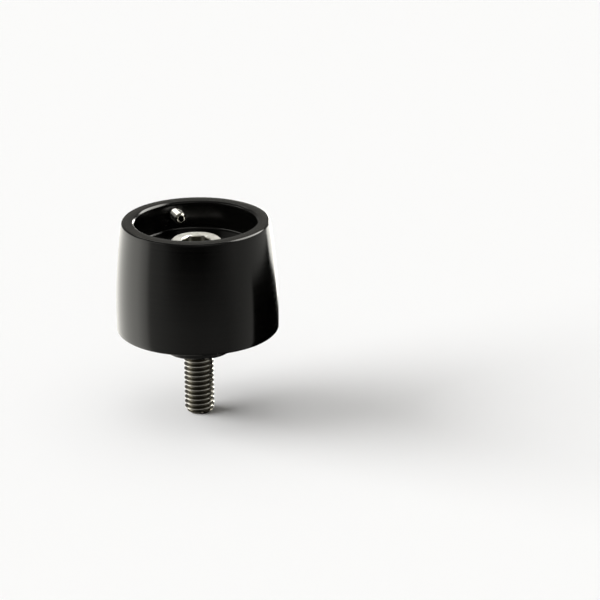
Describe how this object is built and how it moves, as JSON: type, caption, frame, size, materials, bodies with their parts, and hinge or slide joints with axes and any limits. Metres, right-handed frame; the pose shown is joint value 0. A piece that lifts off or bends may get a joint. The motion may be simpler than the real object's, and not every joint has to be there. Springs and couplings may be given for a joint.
{
  "type": "bar end weight",
  "caption": "Black turned weight for the open end of a handlebar, with a deep mouth, a socket head cap screw through it and a small grub screw in its wall.",
  "frame": {"origin": "centre of the flat seat face that meets the end of the handlebar, where the spigot starts", "axes": "+Z along the screw from its thread to the mouth, up in the picture; +Y towards the grub screw"},
  "size_m": [0.032, 0.032, 0.04],
  "materials": {
    "black_anodised": "gloss",
    "stainless_screw": "satin",
    "stainless_grub": "satin"
  },
  "bodies": {
    "root": {"weight_body": "black_anodised", "cap_screw": "stainless_screw", "grub_screw": "stainless_grub"}
  },
  "joints": []
}
